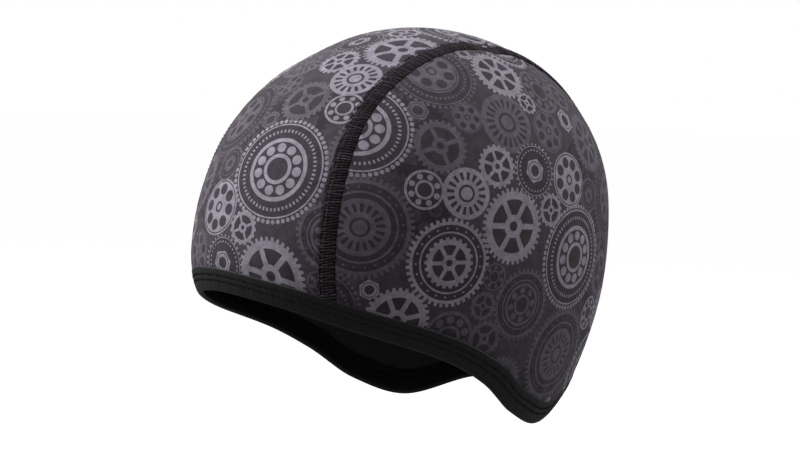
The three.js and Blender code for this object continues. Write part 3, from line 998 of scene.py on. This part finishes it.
def makeSeam(side):
    shape = seamShape
    label = "left" if side > 0 else "right"
    flip = np.array([side, 1, 1])
    across = np.linspace(-1, 1, shape["columns"])
    offsets = across * shape["width"] / 2
    low = bindingShape["width"] - shape["intoBinding"]
    grid = np.stack([seamRun(offset, low, seamCount, side > 0) for offset in offsets], 1)
    normal = outwards(grid)
    outerBulge, innerBulge = [1 - np.abs(across) ** power for power in shape["roundness"]]
    height = (shape["proud"] + shape["edgeDip"]) * outerBulge - shape["edgeDip"]
    dent = dentDepth(grid * flip)
    depth = capForm["clothThick"] + shape["inside"] * innerBulge[None] + dent
    outer = grid + normal * (height[None] - dent)[..., None]
    inner = grid - normal * depth[..., None]
    ridge = shape["columns"] // 2
    v = lengths(grid[:, ridge])
    uv = np.stack(np.broadcast_arrays(offsets[None], v[:, None]), -1)
    if side < 0:
        outer, inner, uv = mirrored(outer), mirrored(inner), uv[:, ::-1]
    band = wallPiece("seam_band_" + label, outer, inner, uv, [finishes["seamBase"]] * 2)

    def sew(name, line, way, lift, thread, sizes):  # a row of stitches, lifted off a line
        return stitchRow(name, (line + way * lift[:, None]) * flip, way * flip, False, thread, sizes)

    out, sunk = normal[:, ridge], dent[:, ridge]
    lean = (grid[:, 0] + grid[:, -1]) / 2 - grid[:, ridge]  # to the middle of the band, also at the pinch
    centre = grid[:, ridge] + (lean - out * (lean * out).sum(-1, keepdims=True))
    sizes = dict(shape["ribs"], Turn=shape["ribs"]["Turn"] + shape["ribLean"] * side)
    lift = shape["proud"] - shape["ribSink"] - sunk
    ribs = sew("seam_ribs_" + label, centre, out, lift, "seamThread", sizes)
    needles = []
    for k, share in enumerate(shape["needlesAt"]):
        column = round(ridge + share * ridge)
        lift = shape["proud"] + shape["needleLift"] - dent[:, column]
        name = "seam_needle_%s_%d" % (label, k + 1)
        sizes = dict(shape["needle"], Seed=shape["needle"]["Seed"] + k)
        needles.append(sew(name, grid[:, column], normal[:, column], lift, "seamBase", sizes))
    hem = seamRun(-shape["width"] / 2 - shape["hemBeside"], bindingShape["width"], seamCount, side > 0)
    lift = shape["hemLift"] - dentDepth(hem * flip)
    hemRow = sew("seam_hem_stitches_" + label, hem, outwards(hem), lift, "bindingThread", shape["hem"])
    lift = capForm["clothThick"] + shape["inside"] + shape["backLift"] + sunk
    backRow = sew("seam_inside_stitches_" + label, centre, -out, lift, "bindingThread", shape["back"])
    return band, [ribs, hemRow, backRow] + needles


seams = {"seam_left": makeSeam(1), "seam_right": makeSeam(-1)}
print("seams made", [len(piece.data.polygons) for piece in seams["seam_left"][1]])


def bindingSection():  # height above the edge and distance out of the cloth's face
    shape = bindingShape
    lip, fold, valley = shape["lip"], shape["fold"], shape["rowValley"]
    top = shape["width"]
    face = shape["lift"] + shape["leaf"]
    back = -capForm["clothThick"] - face
    rows = [top - row for row in shape["stitchRows"]]

    def swell(up):  # the padded face, drawn down along the two rows of stitches
        deep = sum(valley["depth"] * math.exp(-(((up - row) / valley["width"]) ** 2)) for row in rows)
        return shape["swell"] * math.sin(math.pi * min(up / top, 1)) - deep

    outside = [
        (top, shape["lift"] + lip["round"]),
        (top + lip["rise"], shape["lift"] + lip["middle"]),
        (top - lip["drop"], face - lip["round"]),
    ]
    padded = shape["face"]
    heights = np.linspace(top - padded["belowTop"], padded["aboveEdge"], padded["points"])
    outside += [(up, face + swell(up)) for up in heights]
    middleOut = (face + back) / 2
    reach = (face - back) / 2
    under = []
    for a in np.radians(np.linspace(fold["sweep"], -fold["sweep"], fold["points"])):
        under.append((fold["height"] - fold["height"] * math.cos(a), middleOut + reach * math.sin(a)))
    inside = [(up, 2 * middleOut - out) for up, out in reversed(outside)]
    slotTop, slotFoot = shape["slot"]
    near, far = back + shape["leaf"], shape["lift"]
    slot = [(slotTop, near), (slotFoot, near), (slotFoot, far), (slotTop, far)]
    return outside + under + inside + slot


def makeBinding():
    shape = bindingShape
    levels = shape["levels"]
    fine = np.linspace(-math.pi, math.pi, fineCount)
    length = lengths(aboveEdge(fine, levels[1]))
    run = np.linspace(0, length[-1], bindingCount + 1)[:-1]
    turns = np.interp(run, length, fine)
    section = np.array(bindingSection())
    ups, outs = section.T
    grid = np.stack([aboveEdge(turns, up) for up in ups], 1)
    lowest, out, highest = [outwards(aboveEdge(turns, up)) for up in levels]
    share = np.clip((ups - levels[0]) / (levels[-1] - levels[0]), 0, 1)[None, :, None]
    normal = unit(lowest[:, None] * (1 - share) + highest[:, None] * share)
    gather = sum(high * np.sin(run / step * math.tau + start) for high, step, start in shape["gathers"])
    onFace = np.where(outs > shape["lift"] + shape["lip"]["round"], 1.0, 0.0)
    puff = onFace * np.sin(np.pi * np.clip(ups / shape["width"], 0, 1))
    points = grid + normal * (outs[None] + gather[:, None] * puff[None])[..., None]
    n, m = points.shape[:2]
    index = np.arange(n * m).reshape(n, m)
    ahead = np.roll(index, -1, 0)
    faces = np.stack([index, np.roll(index, -1, 1), np.roll(ahead, -1, 1), ahead], -1).reshape(-1, 4)
    wide = lengths(section)
    wide = np.append(wide, wide[-1] + 1)
    corners = []
    for du, dv in ((0, 0), (0, 1), (1, 1), (1, 0)):
        corner = np.broadcast_arrays((run + du * run[1])[:, None], wide[dv : dv + m][None])
        corners.append(np.stack(corner, -1))
    uv = np.stack(corners, 2)
    piece = clothMesh("edge_binding", points.reshape(-1, 3), faces, uv, [finishes["binding"]])
    rows = []
    face = shape["lift"] + shape["leaf"]
    for k, below in enumerate(shape["stitchRows"]):
        line = aboveEdge(turns, shape["width"] - below) + out * (face - shape["stitchSink"])
        sizes = dict(shape["stitches"], Seed=shape["stitches"]["Seed"] + k)
        rows.append(stitchRow("binding_stitches_%d" % (k + 1), line, out, True, "bindingThread", sizes))
    line = aboveEdge(turns, shape["width"] - sum(shape["stitchRows"]) / 2)
    line = line - out * (capForm["clothThick"] + face + shape["backLift"])
    rows.append(stitchRow("binding_inside_stitches", line, -out, True, "bindingThread", shape["back"]))
    return piece, rows


binding, bindingRows = makeBinding()
print("binding made", len(binding.data.polygons))


# What each piece stands for
for node, piece in cloths.items():
    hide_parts(node)
    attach(piece, "root")
# The pieces sewn on over the panels, gathered in one list. The panels are cut 4 % smaller each way than they
# are on the head, which stretches them.
sewnOn = [binding] + bindingRows
for band, rows in seams.values():
    sewnOn += [band] + rows
for node, (band, rows) in seams.items():
    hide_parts(node)
    for piece in [band] + rows:
        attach(piece, "root")
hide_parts("rim_binding")
for piece in [binding] + bindingRows:
    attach(piece, "root")


# Floor, light and camera
studio = {
    "floorBelow": 0.10,  # under the lowest point of the cap, which a head would hold up
    "floorSize": 60.0,
    "floorColour": (0.35, 0.35, 0.35, 1),
    "floorGlow": 0.91,  # a lit table
    "worldStrength": 0.2,
    "backdrop": 1.0,
    "lightAim": (0, 0, -0.07),
    # name, degrees from the face towards the wearer's left, degrees up, distance, size, watts
    "lights": [
        ("key", -35, 31, 0.95, 0.5, 9.0),
        ("top", 55, 68, 0.90, 0.5, 3.0),
        ("rim", 154, 34, 1.10, 0.5, 5.6),
    ],
}
white = (1, 1, 1, 1)


def makeFloor():
    low = cadBox[0][2] - studio["floorBelow"]
    half = studio["floorSize"] / 2
    mesh = bpy.data.meshes.new("floor")
    corners = [(-half, -half, low), (half, -half, low), (half, half, low), (-half, half, low)]
    mesh.from_pydata(corners, [], [(0, 1, 2, 3)])
    floor = linked("floor", mesh)
    floor.visible_diffuse = False  # the lights, and not the table, light the cap
    floor.visible_glossy = False
    material, _, shader = newMaterial("paleFloor", roughness=0.9)
    shader.inputs["Base Color"].default_value = studio["floorColour"]
    shader.inputs["Emission Color"].default_value = white
    shader.inputs["Emission Strength"].default_value = studio["floorGlow"]
    mesh.materials.append(material)


def wayFrom(azimuth, elevation):  # degrees from the face towards the wearer's left, and degrees up
    a, e = math.radians(azimuth), math.radians(elevation)
    return Vector((math.sin(a) * math.cos(e), -math.cos(a) * math.cos(e), math.sin(e)))


def makeLight(name, azimuth, elevation, distance, size, power):
    data = bpy.data.lights.new(name, "AREA")
    data.shape = "DISK"
    data.size = size
    data.energy = power
    away = wayFrom(azimuth, elevation)
    shift = Matrix.Translation(Vector(studio["lightAim"]) + away * distance)
    linked(name, data).matrix_world = shift @ away.to_track_quat("Z", "Y").to_matrix().to_4x4()


def makeStudio():
    world = bpy.data.worlds.new("studio")
    bpy.context.scene.world = world
    world.use_nodes = True
    tree = world.node_tree
    lit = tree.nodes["Background"]
    lit.inputs["Color"].default_value = white
    lit.inputs["Strength"].default_value = studio["worldStrength"]
    seen = addNode(tree, "ShaderNodeBackground", {"Color": white, "Strength": studio["backdrop"]})
    toCamera = tree.nodes.new("ShaderNodeLightPath").outputs["Is Camera Ray"]
    either = addNode(tree, "ShaderNodeMixShader", {0: toCamera, 1: lit.outputs[0], 2: seen.outputs[0]})
    tree.links.new(either.outputs[0], tree.nodes["World Output"].inputs["Surface"])
    for light in studio["lights"]:
        makeLight(*light)


# The view: the cap is seen from its front left, its brow tipped up a little
viewpoint = {
    "azimuth": 53.2,
    "elevation": 2.9,
    "browUp": 2.6,
    "distance": 0.9,
    "pixelsPerMetre": 2190.0,  # at the aim
    "aim": (0, 0, 60.0),  # in the cap's own sizes, above the brow
    "aimPixel": (395.6, 158.8),
    "imageWidth": 800.0,
    "imageHeight": 450.0,
    "sensorWidth": 36.0,  # of the camera, in millimetres
}


def makeCamera():
    v = viewpoint
    data = bpy.data.cameras.new("camera")
    data.sensor_width = v["sensorWidth"]
    data.lens = v["pixelsPerMetre"] * v["distance"] * v["sensorWidth"] / v["imageWidth"]
    data.shift_x = (v["imageWidth"] / 2 - v["aimPixel"][0]) / v["imageWidth"]
    data.shift_y = (v["aimPixel"][1] - v["imageHeight"] / 2) / v["imageWidth"]
    away = wayFrom(v["azimuth"], v["elevation"])
    turn = math.radians(v["azimuth"])
    right = Vector((math.cos(turn), math.sin(turn), 0))
    axes = Matrix((right, away.cross(right), away)).transposed()
    axes = Matrix.Rotation(math.radians(v["browUp"]), 3, "X") @ axes
    aim = Vector(toFrame(np.array(v["aim"], float)))
    camera = linked("camera", data)
    camera.matrix_world = Matrix.Translation(aim + axes.col[2] * v["distance"]) @ axes.to_4x4()
    bpy.context.scene.camera = camera


makeFloor()
makeStudio()
makeCamera()
bpy.context.scene.view_settings.view_transform = "Standard"
print("studio ready")
